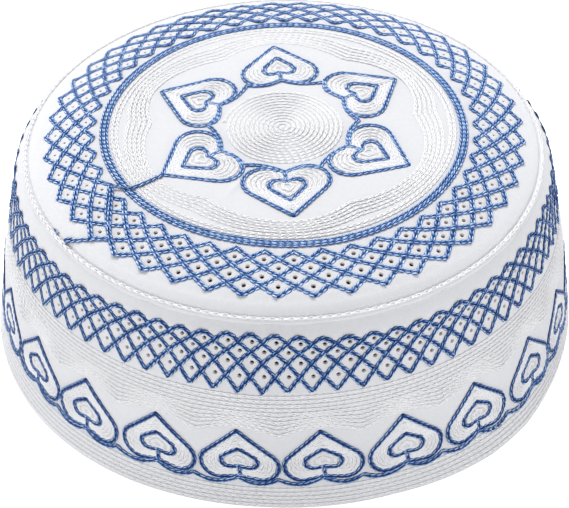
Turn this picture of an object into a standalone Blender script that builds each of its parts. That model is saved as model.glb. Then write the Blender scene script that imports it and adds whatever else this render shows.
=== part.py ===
"""A kufi: a round cap of white cotton with a nearly flat crown, a tapered side and chain embroidery.

The cap stands on its rim at z = 0, with its axis on +Z and its front towards -Y.
Lengths are in metres. Azimuths are in degrees, counted from the front towards +X.
"""
import math

import bmesh
import bpy
from mathutils import Matrix, Vector

# The head and the cloth
HEAD_RADIUS = 0.090
CLOTH = 0.002
RIM_RADIUS = HEAD_RADIUS + CLOTH
SEAT_GAP = 0.0003

# The seam, where a round white piping lies between the side and the crown
PIPING_RADIUS = 0.0010
PIPING_RING = 0.0783
PIPING_HEIGHT = 0.0606

# The side's outer face, from the rim up: height and radius
SIDE_TOP = PIPING_HEIGHT - PIPING_RADIUS - SEAT_GAP
SIDE_SECTIONS = [
    # height, radius
    (0.0000, RIM_RADIUS),
    (0.0130, 0.0899),
    (0.0270, 0.0879),
    (0.0400, 0.0852),
    (0.0500, 0.0829),
    (SIDE_TOP, 0.0800),
]
SIDE_COLUMNS = 152

# The crown's upper face, from the middle out: radius and height
CROWN_EDGE = PIPING_RING - PIPING_RADIUS - SEAT_GAP
RING_INNER = 0.0530
RING_OUTER = 0.0558
RING_THICKNESS = 0.0010
RING_SEAT_MARGIN = 0.0004
CROWN_SECTIONS = [
    # radius, height
    (0.0000, 0.0673),
    (0.0260, 0.0672),
    (0.0420, 0.0673),
    (RING_INNER - RING_SEAT_MARGIN, 0.0676),
    (RING_OUTER + RING_SEAT_MARGIN, 0.0674),
    (0.0660, 0.0660),
    (0.0728, 0.0641),
    (CROWN_EDGE, 0.0619),
]
CROWN_COLUMNS = 90

# Eyelets: one row in each lattice, one eyelet in each repeat of its pattern
EYELET_RADIUS = 0.0007
EYELET_SIDES = 6
EYELET_REACH = 0.004
CROWN_REPEATS = 45
CROWN_EYELET_RING = 0.0667
CROWN_EYELET_AZIMUTH = -1.09 + 180.0 / CROWN_REPEATS
SIDE_REPEATS = 76
SIDE_EYELET_HEIGHT = 0.0491
SIDE_EYELET_AZIMUTH = 0.74 + 180.0 / SIDE_REPEATS

WHITE_COTTON = ("white_cotton", (0.86, 0.87, 0.90), 0.85)
WHITE_THREAD = ("white_thread", (0.90, 0.90, 0.92), 0.45)
BLUE_THREAD = ("blue_thread", (0.05, 0.14, 0.48), 0.40)


def clear_scene():
    for item in list(bpy.data.objects):
        bpy.data.objects.remove(item)


def material(name, colour, roughness):
    """One plain Principled finish for each kind of cloth or thread."""
    made = bpy.data.materials.get(name)
    if made is None:
        made = bpy.data.materials.new(name)
        made.use_nodes = True
        shader = made.node_tree.nodes["Principled BSDF"]
        shader.inputs["Base Color"].default_value = (*colour, 1.0)
        shader.inputs["Roughness"].default_value = roughness
        shader.inputs["Metallic"].default_value = 0.0
    return made


def place(radius, azimuth, height):
    """The point at an azimuth from the front, at a radius from the axis."""
    turn = math.radians(azimuth)
    return Vector((radius * math.sin(turn), -radius * math.cos(turn), height))


def between(sections, where):
    """The value at a place along a table of sections, on the straight line between its rows."""
    for (start, low), (end, high) in zip(sections, sections[1:]):
        if where <= end:
            return low + (high - low) * (where - start) / (end - start)
    return sections[-1][1]


def turned(name, outline, columns, closed):
    """A solid of revolution about +Z. The outline holds (radius, height) pairs."""
    mesh = bpy.data.meshes.new(name)
    shape = bmesh.new()
    corners = [shape.verts.new((radius, 0.0, height)) for radius, height in outline]
    pairs = list(zip(corners, corners[1:]))
    if closed:
        pairs.append((corners[-1], corners[0]))
    edges = [shape.edges.new(pair) for pair in pairs]
    bmesh.ops.spin(
        shape,
        geom=edges + corners,
        cent=(0.0, 0.0, 0.0),
        axis=(0.0, 0.0, 1.0),
        angle=math.tau,
        steps=columns,
        use_merge=True,
    )
    bmesh.ops.remove_doubles(shape, verts=shape.verts, dist=0.00001)
    bmesh.ops.recalc_face_normals(shape, faces=shape.faces)
    shape.to_mesh(mesh)
    shape.free()
    solid = bpy.data.objects.new(name, mesh)
    bpy.context.scene.collection.objects.link(solid)
    return solid


def finish(solid, finish_values):
    solid.data.materials.append(material(*finish_values))
    solid.data.shade_smooth()
    solid.data.set_sharp_from_angle(angle=math.radians(40.0))
    return solid


def eyelet_pins(name, places):
    """Six-sided pins that cut the eyelets. Each place is (point on the cloth, direction through it)."""
    mesh = bpy.data.meshes.new(name)
    shape = bmesh.new()
    for point, direction in places:
        turn = direction.to_track_quat("Z", "Y").to_matrix().to_4x4()
        bmesh.ops.create_cone(
            shape,
            cap_ends=True,
            segments=EYELET_SIDES,
            radius1=EYELET_RADIUS,
            radius2=EYELET_RADIUS,
            depth=2.0 * EYELET_REACH,
            matrix=Matrix.Translation(point) @ turn,
        )
    shape.to_mesh(mesh)
    shape.free()
    pins = bpy.data.objects.new(name, mesh)
    pins.hide_render = True
    pins.display_type = "WIRE"
    bpy.context.scene.collection.objects.link(pins)
    return pins


def pierce(solid, pins):
    cut = solid.modifiers.new("eyelets", "BOOLEAN")
    cut.operation = "DIFFERENCE"
    cut.solver = "EXACT"
    cut.object = pins


def side_band():
    """The tapered wall: its outer face, its flat top, its inner face and its flat rim."""
    outer = [(radius, height) for height, radius in SIDE_SECTIONS]
    inner = [(radius - CLOTH, height) for height, radius in reversed(SIDE_SECTIONS)]
    band = turned("side_band", outer + inner, SIDE_COLUMNS, closed=True)
    ring = between(SIDE_SECTIONS, SIDE_EYELET_HEIGHT) - CLOTH / 2.0
    step = 360.0 / SIDE_REPEATS
    places = []
    for repeat in range(SIDE_REPEATS):
        azimuth = SIDE_EYELET_AZIMUTH + repeat * step
        places.append((place(ring, azimuth, SIDE_EYELET_HEIGHT), place(1.0, azimuth, 0.0)))
    pierce(band, eyelet_pins("side_eyelet_pins", places))
    return finish(band, WHITE_COTTON)


def crown_panel():
    """The top disc, flat inside the ring and falling to the seam: upper face, square edge and lower face."""
    lower = [(radius, height - CLOTH) for radius, height in reversed(CROWN_SECTIONS)]
    panel = turned("crown_panel", CROWN_SECTIONS + lower, CROWN_COLUMNS, closed=False)
    height = between(CROWN_SECTIONS, CROWN_EYELET_RING) - CLOTH / 2.0
    step = 360.0 / CROWN_REPEATS
    places = []
    for repeat in range(CROWN_REPEATS):
        azimuth = CROWN_EYELET_AZIMUTH + repeat * step
        places.append((place(CROWN_EYELET_RING, azimuth, height), Vector((0.0, 0.0, 1.0))))
    pierce(panel, eyelet_pins("crown_eyelet_pins", places))
    return finish(panel, WHITE_COTTON)


def seam_piping():
    """The white roll that lies on the side's top edge, round the crown."""
    sides = 8
    section = []
    for side in range(sides):
        turn = math.tau * side / sides
        radius = PIPING_RING + PIPING_RADIUS * math.cos(turn)
        section.append((radius, PIPING_HEIGHT + PIPING_RADIUS * math.sin(turn)))
    return finish(turned("seam_piping", section, CROWN_COLUMNS, closed=True), WHITE_THREAD)


def crown_ring():
    """The blue double ring, a flat raised band with rounded shoulders that follows the crown's slope."""
    middle = (RING_INNER + RING_OUTER) / 2.0
    shoulder = (RING_OUTER - RING_INNER) / 4.0
    foot = [(radius, between(CROWN_SECTIONS, radius) + SEAT_GAP) for radius in (RING_INNER, RING_OUTER)]
    top = between(CROWN_SECTIONS, middle) + SEAT_GAP + RING_THICKNESS
    section = foot + [(middle + shoulder, top), (middle - shoulder, top)]
    return finish(turned("crown_ring", section, CROWN_COLUMNS, closed=True), BLUE_THREAD)


clear_scene()
side_band()
seam_piping()
crown_panel()
crown_ring()
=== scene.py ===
"""The looks of a white cotton kufi: pierced cloth, a piped seam and real chain stitches in blue and white.

Lengths are in metres. Azimuths are in degrees, counted from the front (-Y) towards +X.
A row is a line of stitches, kept as a pair of arrays: its points, and the outward direction at each.
"""
import math

import bpy
import numpy as np
from mathutils import Matrix, Vector


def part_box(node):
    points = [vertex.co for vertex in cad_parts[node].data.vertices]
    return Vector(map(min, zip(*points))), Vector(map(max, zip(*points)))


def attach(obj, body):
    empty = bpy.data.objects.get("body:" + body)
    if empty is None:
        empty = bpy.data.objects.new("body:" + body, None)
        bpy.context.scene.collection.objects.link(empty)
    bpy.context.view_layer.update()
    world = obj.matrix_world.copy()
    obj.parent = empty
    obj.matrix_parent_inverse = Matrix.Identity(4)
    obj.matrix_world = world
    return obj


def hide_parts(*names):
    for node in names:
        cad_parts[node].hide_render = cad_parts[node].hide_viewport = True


MM = 0.001

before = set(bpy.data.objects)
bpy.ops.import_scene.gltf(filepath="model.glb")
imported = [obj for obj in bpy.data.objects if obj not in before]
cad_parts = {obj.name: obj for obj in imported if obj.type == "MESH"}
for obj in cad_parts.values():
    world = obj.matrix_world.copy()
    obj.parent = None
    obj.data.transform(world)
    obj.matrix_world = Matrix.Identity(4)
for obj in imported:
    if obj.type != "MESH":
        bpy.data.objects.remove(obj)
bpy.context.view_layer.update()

# Main sizes, from the frame
RIM_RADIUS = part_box("side_band")[1].x
SIDE_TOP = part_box("side_band")[1].z
CROWN_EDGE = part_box("crown_panel")[1].x
PIPING_LOW, PIPING_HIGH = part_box("seam_piping")
PIPING_RADIUS = (PIPING_HIGH.z - PIPING_LOW.z) / 2.0
PIPING_HEIGHT = (PIPING_HIGH.z + PIPING_LOW.z) / 2.0
PIPING_RING = PIPING_HIGH.x - PIPING_RADIUS
CLOTH = 2.0 * MM

# The side's outer face, from the rim up: height and radius
SIDE_SECTIONS = [
    # height, radius
    (0.0 * MM, RIM_RADIUS),
    (13.0 * MM, 89.9 * MM),
    (27.0 * MM, 87.9 * MM),
    (40.0 * MM, 85.2 * MM),
    (50.0 * MM, 82.9 * MM),
    (SIDE_TOP, 80.0 * MM),
    (SIDE_TOP + 1.0 * MM, 79.1 * MM),
]

# The soft hem flares past an even rim, the most at the front right
RIM_FLARE = [
    # azimuth, distance further out
    (-115.0, 0.0),
    (-90.0, 0.3 * MM),
    (-70.0, 1.0 * MM),
    (-50.0, 1.6 * MM),
    (-40.0, 1.6 * MM),
    (-30.0, 1.4 * MM),
    (-20.0, 0.9 * MM),
    (-5.0, 0.4 * MM),
    (10.0, 0.8 * MM),
    (20.0, 1.1 * MM),
    (30.0, 2.2 * MM),
    (40.0, 2.9 * MM),
    (50.0, 2.5 * MM),
    (60.0, 1.2 * MM),
    (70.0, 0.4 * MM),
    (85.0, 0.0),
]
FLARE_TOP = 9.0 * MM
FLARE_CURVE = 1.3

# The crown's upper face, from the middle out: radius and height. Its lip turns down to the piping.
CROWN_SECTIONS = [
    # radius, height
    (0.0 * MM, 67.3 * MM),
    (26.0 * MM, 67.2 * MM),
    (42.0 * MM, 67.3 * MM),
    (54.0 * MM, 67.6 * MM),
    (66.0 * MM, 66.0 * MM),
    (72.8 * MM, 64.1 * MM),
    (75.6 * MM, 62.9 * MM),
    (CROWN_EDGE + 0.3 * MM, 61.7 * MM),
    (CROWN_EDGE + 1.3 * MM, 60.4 * MM),
]

# The crown's lattice: four rows of cells between outer and inner tips
CROWN_REPEATS = 45
CROWN_TIP_AZIMUTH = -1.09
CROWN_LATTICE = [
    # half-cells from the outer tips, radius
    (0.0, 72.7 * MM),
    (5.0, 57.7 * MM),
]
# How the hand-guided stitching strays from an even lattice, and how soon that fades beside it
DRIFT_FADE = 2.5 * MM
CROWN_DRIFT = [
    # azimuth, degrees further round, millimetres further out: at the outer tips, the middle, the inner tips
    (-165.0, 0.37, -1.3, -1.4, -1.3),
    (-150.0, 0.70, -1.4, -1.5, -1.3),
    (-135.0, 0.69, -1.2, -1.2, -1.0),
    (-120.0, 0.44, -0.9, -0.9, -0.8),
    (-105.0, -0.11, -0.6, -0.6, -0.5),
    (-90.0, -0.33, -0.6, -0.6, -0.5),
    (-75.0, -0.54, -0.5, -0.5, -0.5),
    (-60.0, -0.44, -0.5, -0.5, -0.5),
    (-45.0, 0.03, -0.3, -0.3, -0.3),
    (-30.0, 0.03, -0.2, -0.4, -0.4),
    (-15.0, -0.18, -0.2, -0.5, -0.5),
    (0.0, -0.43, -0.2, -0.5, -0.4),
    (15.0, -0.40, 0.2, 0.0, 0.1),
    (30.0, -0.61, 0.3, 0.1, 0.3),
    (45.0, -0.68, 0.0, 0.0, 0.3),
    (60.0, -0.53, -0.2, -0.2, 0.1),
    (75.0, -0.35, -0.3, -0.4, -0.2),
    (90.0, -0.30, 0.0, -0.2, 0.0),
    (105.0, -0.44, 0.3, 0.2, 0.2),
    (120.0, -0.17, 0.6, 0.6, 0.5),
    (135.0, 0.07, 0.6, 0.6, 0.5),
    (150.0, 0.50, 0.4, 0.4, 0.4),
    (165.0, 0.30, 0.0, 0.0, 0.0),
    (180.0, 0.35, -1.0, -1.0, -1.0),
]

# The side's lattice: its cells grow longer towards the rim
SIDE_REPEATS = 76
SIDE_TIP_AZIMUTH = 0.74 + 180.0 / SIDE_REPEATS
SIDE_LATTICE = [
    # half-cells from the upper tips, height
    (0.0, 57.6 * MM),
    (0.5, 57.0 * MM),
    (1.0, 55.4 * MM),
    (2.0, 52.5 * MM),
    (3.0, 49.1 * MM),
    (4.0, 44.8 * MM),
    (5.0, 40.0 * MM),
]
SIDE_DRIFT = [
    # azimuth, degrees further round, millimetres higher: at the upper tips, the middle, the lower tips
    (-100.0, 0.0, 0.0, 0.0, 0.0),
    (-80.0, 2.0, -1.0, -0.5, -0.4),
    (-72.0, 1.5, -1.6, -0.8, -0.3),
    (-64.0, 0.9, -1.6, -0.8, -0.2),
    (-56.0, 0.4, -1.5, -0.8, -0.4),
    (-48.0, 0.1, -1.7, -1.0, -0.3),
    (-40.0, 0.0, -1.4, -0.6, -0.2),
    (-32.0, 0.2, -0.4, -0.1, -0.2),
    (-24.0, 0.2, -0.4, -0.1, 0.2),
    (-16.0, -0.2, -0.3, 0.0, 0.0),
    (-8.0, -0.3, 0.5, 0.1, -0.2),
    (0.0, -0.4, 0.2, 0.0, 0.1),
    (8.0, -0.6, -0.8, -0.3, 0.0),
    (16.0, -0.3, -1.5, -0.7, -0.2),
    (24.0, -0.3, -2.0, -1.1, -0.1),
    (32.0, -0.3, -2.0, -0.9, -0.1),
    (40.0, -0.1, -1.7, -0.8, -0.2),
    (48.0, 0.1, -1.2, -0.7, -0.2),
    (56.0, 0.5, -0.6, -0.3, 0.4),
    (64.0, 0.9, 0.0, 0.3, 2.0),
    (72.0, 0.3, 0.3, 0.8, 2.1),
    (80.0, -2.0, -0.5, 0.8, 2.2),
    (100.0, 0.0, 0.0, 0.0, 0.0),
]
HALF_CELLS = 5
CELL_PUFF = 0.30 * MM

# Eyelets. A shifted eyelet takes the cloth round it along.
EYELET_RADIUS = 0.74 * MM
EYELET_DIP = 0.25 * MM
EYELET_REACH = 1.5 * MM
OPEN_AZIMUTH = 5.0
# Where an eyelet's wall ends: a share of the cloth's depth down, and a share of the radius in
EYELET_WALL_DEPTH = 0.42
EYELET_WALL_DRAW = 0.34

# The crown's hearts, a row each: where the tip and the cleft lie
CROWN_HEARTS = [
    # tip azimuth, tip radius, cleft azimuth, cleft radius
    (3.7, 41.7 * MM, 0.7, 21.8 * MM),
    (62.7, 41.6 * MM, 64.4, 21.7 * MM),
    (124.5, 42.6 * MM, 127.6, 23.7 * MM),
    (183.9, 42.5 * MM, 181.2, 24.4 * MM),
    (243.7, 42.0 * MM, 239.7, 22.8 * MM),
    (302.5, 42.2 * MM, 301.6, 22.0 * MM),
]
# The points of the blue scalloped ring between the hearts: azimuth and radius
SCALLOP_POINTS = [
    (27.8, 22.6 * MM),
    (98.0, 23.2 * MM),
    (151.4, 26.2 * MM),
    (207.8, 24.4 * MM),
    (266.4, 23.0 * MM),
    (325.8, 22.2 * MM),
]
SCALLOP_BULGE = 1.4 * MM

# The side's hearts
SIDE_HEARTS = 23
SIDE_HEART_STEP = 360.0 / SIDE_HEARTS
SIDE_HEART_AZIMUTH = -9.2
SIDE_HEART_LEAN = 0.075
SIDE_HEART_TIP = 26.7 * MM
SIDE_SCALLOP_DROP = 1.9 * MM
# The hanging arcs start a little past their cleft and below it
SIDE_SCALLOP_SHIFT = 0.4
SIDE_SCALLOP_START = 0.4 * MM
# How the hearts' tips, clefts and the points between them vary round the front
SIDE_HEART_DRIFT = [
    # azimuth, degrees further round
    (-90.0, 0.0),
    (-56.0, -0.3),
    (-41.0, -0.6),
    (-25.0, 0.0),
    (-9.0, 0.0),
    (7.0, -0.2),
    (22.0, 0.0),
    (38.0, 0.3),
    (54.0, 1.4),
    (70.0, 0.8),
    (90.0, 0.0),
]
SIDE_CLEFTS = [
    # azimuth, height
    (-90.0, 10.2 * MM),
    (-56.0, 10.8 * MM),
    (-41.0, 9.6 * MM),
    (-25.0, 10.4 * MM),
    (-9.0, 10.6 * MM),
    (7.0, 10.6 * MM),
    (22.0, 9.6 * MM),
    (38.0, 9.1 * MM),
    (54.0, 8.6 * MM),
    (75.0, 9.8 * MM),
    (90.0, 10.2 * MM),
]
SIDE_POINTS = [
    # azimuth, height
    (-90.0, 9.5 * MM),
    (-63.0, 10.3 * MM),
    (-48.0, 9.1 * MM),
    (-33.0, 9.0 * MM),
    (-17.0, 9.3 * MM),
    (-1.0, 9.8 * MM),
    (14.0, 9.0 * MM),
    (30.0, 8.3 * MM),
    (46.0, 7.6 * MM),
    (62.0, 8.5 * MM),
    (90.0, 9.5 * MM),
]

# Heart outlines, measured from the tip: the two round lobes and the cleft between them
CROWN_HEART = {"across": 6.45 * MM, "down": 15.8 * MM, "radius": 6.3 * MM, "cleft": 19.7 * MM}
CROWN_INNER = {"across": 2.75 * MM, "down": 7.1 * MM, "radius": 2.65 * MM, "cleft": 8.7 * MM}
CROWN_INNER_START = 6.6 * MM
SIDE_HEART = {"across": 6.45 * MM, "down": 12.5 * MM, "radius": 4.95 * MM, "cleft": 16.3 * MM}
SIDE_INNER = {"across": 3.2 * MM, "down": 4.8 * MM, "radius": 2.3 * MM, "cleft": 6.4 * MM}
SIDE_INNER_START = 6.3 * MM
HEART_FILLS = (0.21, 0.41, 0.60, 0.79)
INNER_FILLS = (0.36, 0.70)
LOOP_START_STEP = 37

# White rows on the crown
SPIRAL_RADIUS = 18.2 * MM
SPIRAL_PITCH = 1.43 * MM
SPIRAL_START_TURN = 0.45
CROWN_STRAIGHT_ROWS = (51.8 * MM, 50.5 * MM)
CROWN_WAVES = [
    # radius over the hearts' tips, radius at the points between them
    (49.2 * MM, 46.8 * MM),
    (48.0 * MM, 45.3 * MM),
    (46.8 * MM, 43.6 * MM),
    (45.7 * MM, 42.0 * MM),
    (44.6 * MM, 40.4 * MM),
]
WAVE_SHARPNESS = 1.7

# White rows on the side
SIDE_STRAIGHT_ROWS = (38.4 * MM, 37.0 * MM, 35.6 * MM, 34.3 * MM)
SIDE_WAVES = [
    # height over the hearts' tips, height at the points between them
    (33.1 * MM, 32.9 * MM),
    (32.2 * MM, 31.4 * MM),
    (31.2 * MM, 29.9 * MM),
    (30.3 * MM, 28.4 * MM),
    (29.4 * MM, 26.9 * MM),
    (28.5 * MM, 25.4 * MM),
]
HEM_ROWS = (6.3 * MM, 4.9 * MM, 3.5 * MM, 2.2 * MM, 0.9 * MM)

# Blue rows
RING_ROWS = (53.75 * MM, 55.0 * MM)
RING_DRIFT = [
    # azimuth, distance further out
    (-165.0, -0.5 * MM),
    (-135.0, -0.4 * MM),
    (-105.0, -0.2 * MM),
    (-75.0, -0.1 * MM),
    (-45.0, -0.2 * MM),
    (-15.0, -0.4 * MM),
    (15.0, 0.5 * MM),
    (45.0, 0.5 * MM),
    (75.0, 0.3 * MM),
    (105.0, 0.0),
    (135.0, 0.1 * MM),
    (165.0, 0.4 * MM),
]
LOOSE_END = [
    # azimuth, radius
    (-45.2, 69.1 * MM),
    (-47.3, 71.1 * MM),
    (-49.2, 72.9 * MM),
    (-51.0, 74.7 * MM),
    (-52.5, 76.2 * MM),
    (-54.0, 77.2 * MM),
]
LOOSE_KNOT = [
    # azimuth, radius
    (-53.9, 77.0 * MM),
    (-53.1, 76.9 * MM),
    (-52.6, 76.1 * MM),
]
LOOSE_FLECK = [
    # azimuth, radius
    (-58.5, 77.3 * MM),
    (-57.7, 77.2 * MM),
    (-56.9, 77.3 * MM),
]
CARRY_THREAD = [
    # azimuth, radius
    (-57.1, 42.3 * MM),
    (-56.5, 45.5 * MM),
    (-56.2, 48.5 * MM),
    (-56.1, 51.1 * MM),
    (-56.3, 53.0 * MM),
]
CARRY_END = [
    # azimuth, radius
    (-56.3, 53.0 * MM),
    (-57.3, 54.6 * MM),
    (-58.6, 56.0 * MM),
    (-60.0, 57.4 * MM),
]
STRETCHED_TIP = [
    # azimuth, radius
    (-65.3, 59.2 * MM),
    (-62.3, 57.6 * MM),
    (-60.1, 56.1 * MM),
    (-58.5, 55.1 * MM),
]
DOUBLED_LEG = [
    # azimuth, radius
    (-60.1, 57.7 * MM),
    (-56.4, 59.9 * MM),
    (-53.4, 62.1 * MM),
    (-50.7, 64.5 * MM),
    (-48.6, 66.3 * MM),
    (-47.3, 67.7 * MM),
]

# Stitch sizes: length along the row, width over both legs and height
BLUE_STITCH = (2.0 * MM, 1.65 * MM, 0.75 * MM)
THIN_STITCH = (1.6 * MM, 0.8 * MM, 0.4 * MM)
WHITE_STITCH = (2.2 * MM, 1.3 * MM, 0.50 * MM)
SEAM_STITCH = (2.6 * MM, 1.3 * MM, 0.8 * MM)
WIDTH_RANGE = (0.93, 1.07)
HEIGHT_RANGE = (0.88, 1.12)
CROSSING_LIFT = 0.40 * MM

# One leg of a stitch, in shares of the stitch's length, width and height
LEG_MIDDLE = 0.40
LEG_REACH = 0.74
LEG_GAP = 0.05
LEG_SPREAD = 0.23
LEG_HALF_WIDTH = 0.225
LEG_HALF_HEIGHT = 0.36
LEG_PLUMPNESS = 1.15
LEG_CREST = 0.36
LEG_END_DROP = 0.25

# The rings of the crown's lip and its fullness, the crown's unevenness, and the pucker beside the front
# heart, with its two ends seen from above
LIP_RINGS = (73.6 * MM, 74.5 * MM, 75.3 * MM, 76.0 * MM, 76.6 * MM, 77.1 * MM, 77.6 * MM)
LIP_FULLNESS = 0.25 * MM
LIP_MIDDLE = 75.0 * MM
LIP_BREADTH = 1.6 * MM
CROWN_UNEVENNESS = 0.12 * MM
PUCKER_START = (-12.0 * MM, -24.0 * MM)
PUCKER_END = (-17.5 * MM, -34.5 * MM)
PUCKER_HEIGHT = 0.35 * MM
PUCKER_BREADTH = 0.9 * MM

# The seam's roll, and its row of stitches, which sinks in a little
ROLL_UNEVENNESS = 0.03
SEAM_ROW_LEAN = math.radians(8.0)
SEAM_ROW_SINK = 0.2 * MM

# The step that a slope is taken over, and how many points a row has that runs right round
SLOPE_STEP = 0.35 * MM
ROUND_SAMPLES = 1800
RING_SAMPLES = 1200


# Lines and surfaces

def smooth_line(sections):
    """A smooth curve through a table's rows, as a function of its first column."""
    places, values = np.array(sections, float).T
    slopes = np.gradient(values, places)

    def value(where):
        row = np.clip(np.searchsorted(places, where) - 1, 0, len(places) - 2)
        span = places[row + 1] - places[row]
        part = (where - places[row]) / span
        start = (1 + 2 * part) * (1 - part) ** 2 * values[row] + part * (1 - part) ** 2 * span * slopes[row]
        end = part ** 2 * (3 - 2 * part) * values[row + 1] + part ** 2 * (part - 1) * span * slopes[row + 1]
        return start + end

    return value


side_radius = smooth_line(SIDE_SECTIONS)
crown_height = smooth_line(CROWN_SECTIONS)


def around(radius, azimuth, height):
    """Points at a radius from the axis, an azimuth from the front and a height."""
    angle = np.radians(azimuth)
    radius, angle, height = np.broadcast_arrays(radius, angle, height)
    return np.stack([radius * np.sin(angle), -radius * np.cos(angle), height], axis=-1)


def radius_of(points):
    return np.hypot(points[:, 0], points[:, 1])


def azimuth_of(points):
    return np.degrees(np.arctan2(points[:, 0], -points[:, 1]))


def height_of(points):
    return points[:, 2]


def unit(vectors):
    return vectors / np.linalg.norm(vectors, axis=-1, keepdims=True)


def on_crown(radius, azimuth):
    """Points on the crown's upper face, and the outward direction there."""
    slope = (crown_height(radius + SLOPE_STEP) - crown_height(np.abs(radius - SLOPE_STEP))) / (2 * SLOPE_STEP)
    return around(radius, azimuth, crown_height(radius)), unit(around(-slope, azimuth, 1.0))


def varied(table, azimuth):
    """A value at an azimuth from a table that goes right round."""
    places, values = np.array(table).T
    return np.interp(azimuth, places, values, period=360.0)


def flared_radius(height, azimuth):
    """The radius of the side's outer face, with the hem's flare."""
    share = np.clip(1.0 - height / FLARE_TOP, 0.0, 1.0) ** FLARE_CURVE
    return side_radius(height) + share * varied(RIM_FLARE, azimuth)


def on_side(height, azimuth):
    """Points on the side's outer face, and the outward direction there."""
    above, below = (flared_radius(height + step, azimuth) for step in (SLOPE_STEP, -SLOPE_STEP))
    slope = (above - below) / (2 * SLOPE_STEP)
    return around(flared_radius(height, azimuth), azimuth, height), unit(around(1.0, azimuth, -slope))


def lifted(row, lift):
    points, outward = row
    return points + outward * np.reshape(lift, (-1, 1)), outward


def crown_plane_row(flat):
    """A row on the crown, from points in its plane seen from above."""
    return on_crown(radius_of(flat), azimuth_of(flat))


# Lattices

class Lattice:
    """Slanting blue rows in two families, with an eyelet in each cell. A level is a radius or a height.

    The cloth has a number of columns to each repeat. The opening is the least share that an eyelet stands
    open, what the front adds to it, and the breadth of that in degrees. The eyelet shift is degrees round
    and a distance up or out.
    """

    def __init__(
        self, repeats, tip_azimuth, table, drift, surface, level_of, girth, columns, opening, eyelet_shift
    ):
        self.repeats = repeats
        self.columns = repeats * columns
        self.step = 360.0 / repeats
        self.tip_azimuth = tip_azimuth
        self.level = smooth_line(table)
        self.table = np.array(table)
        self.drift = np.array(drift)
        self.surface = surface
        self.level_of = level_of
        self.girth = girth
        self.opening = opening
        self.eyelet_shift = eyelet_shift

    def strayed(self, level, azimuth):
        """Where an even lattice's point really lies. Away from the lattice nothing strays."""
        start, middle, end = self.table[0, 1], self.level(HALF_CELLS / 2.0), self.table[-1, 1]
        outside = np.maximum(np.maximum(end - level, level - start), 0.0)
        share = np.clip(1.0 - outside / DRIFT_FADE, 0.0, 1.0)
        places, turns, *shifts = self.drift.T
        turn = np.interp(azimuth, places, turns, period=360.0)
        near, half, far = (np.interp(azimuth, places, shift, period=360.0) * MM for shift in shifts)
        up = np.clip((level - middle) / (start - middle), 0.0, 1.0)
        down = np.clip((middle - level) / (middle - end), 0.0, 1.0)
        shift = half + up * (near - half) + down * (far - half)
        return level + share * shift, azimuth + share * turn

    def place(self, level, azimuth):
        return self.surface(*self.strayed(level, azimuth))

    def rows(self):
        """Closed zigzag rows that turn at the tips. The rising legs lie over the falling ones."""
        down = np.linspace(0.0, HALF_CELLS, 60)
        bumps = CROSSING_LIFT * (0.5 + 0.5 * np.cos(2 * math.pi * down)) ** 3
        rows = []
        left = set(range(self.repeats))
        while left:
            legs = []
            repeat = min(left)
            while repeat in left:
                left.remove(repeat)
                start = self.tip_azimuth + repeat * self.step
                turn = start + HALF_CELLS * self.step
                legs.append(self.place(self.level(down), start + down * self.step / 2.0))
                legs.append(lifted(self.place(self.level(down), turn - down * self.step / 2.0), bumps))
                legs[-1] = tuple(part[::-1] for part in legs[-1])
                repeat = (repeat + HALF_CELLS) % self.repeats
            rows.append(tuple(np.concatenate(parts) for parts in zip(*legs)))
        return rows

    def half_cells(self, level):
        """How many half-cells a level lies from the outer or upper tips."""
        places, levels = self.table[::-1].T
        inside = np.interp(level, levels, places)
        inside = np.where(level > levels[-1] + 0.01 * MM, -1.0, inside)
        return np.where(level < levels[0] - 0.01 * MM, HALF_CELLS + 1.0, inside)

    def puff(self, level, azimuth):
        """The cloth swells inside each cell, between the rows that hold it down."""
        down = self.half_cells(level)
        sideways = (azimuth - self.tip_azimuth) / self.step
        swell = np.sin(math.pi * (sideways - down / 2.0)) * np.sin(math.pi * (sideways + down / 2.0))
        inside = (down > 0.0) & (down < HALF_CELLS)
        return np.where(inside, CELL_PUFF * np.sqrt(np.abs(swell)), 0.0)

    def from_eyelet(self, level, azimuth):
        """How far a point lies from the nearest eyelet: a share of a step round, and a length across."""
        row = np.clip(np.round(self.half_cells(level)), 1, HALF_CELLS - 1)
        sideways = (azimuth - self.tip_azimuth) / self.step - np.where(row % 2 == 1, 0.0, 0.5)
        return sideways - np.round(sideways), level - self.level(row)

    def sheet_levels(self):
        """Levels for a sheet's rings: each eyelet row, its rim on both sides, and halfway to the next."""
        between = np.arange(HALF_CELLS) + 0.5
        levels = [self.level(place) for place in (np.float64(0.0), *between, np.float64(HALF_CELLS))]
        for row in range(1, HALF_CELLS):
            centre = self.level(np.float64(row))
            levels += [centre - EYELET_RADIUS, centre, centre + EYELET_RADIUS]
        return sorted(levels)

    def open_share(self, azimuth):
        """How far the eyelets stand open: the most at the front. A share of 1 opens an eyelet fully."""
        least, more, breadth = self.opening
        return least + more * np.exp(-((azimuth - OPEN_AZIMUTH) / breadth) ** 4)


CROWN = Lattice(
    repeats=CROWN_REPEATS,
    tip_azimuth=CROWN_TIP_AZIMUTH,
    table=CROWN_LATTICE,
    drift=CROWN_DRIFT,
    surface=on_crown,
    level_of=radius_of,
    girth=lambda level: level,
    columns=12,
    opening=(0.55, 0.45, 62.0),
    eyelet_shift=(0.0, 0.0),
)
SIDE = Lattice(
    repeats=SIDE_REPEATS,
    tip_azimuth=SIDE_TIP_AZIMUTH,
    table=SIDE_LATTICE,
    drift=SIDE_DRIFT,
    surface=on_side,
    level_of=height_of,
    girth=side_radius,
    columns=8,
    opening=(0.60, 0.32, 52.0),
    eyelet_shift=(0.40, 0.15 * MM),
)


# Patterns

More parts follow.
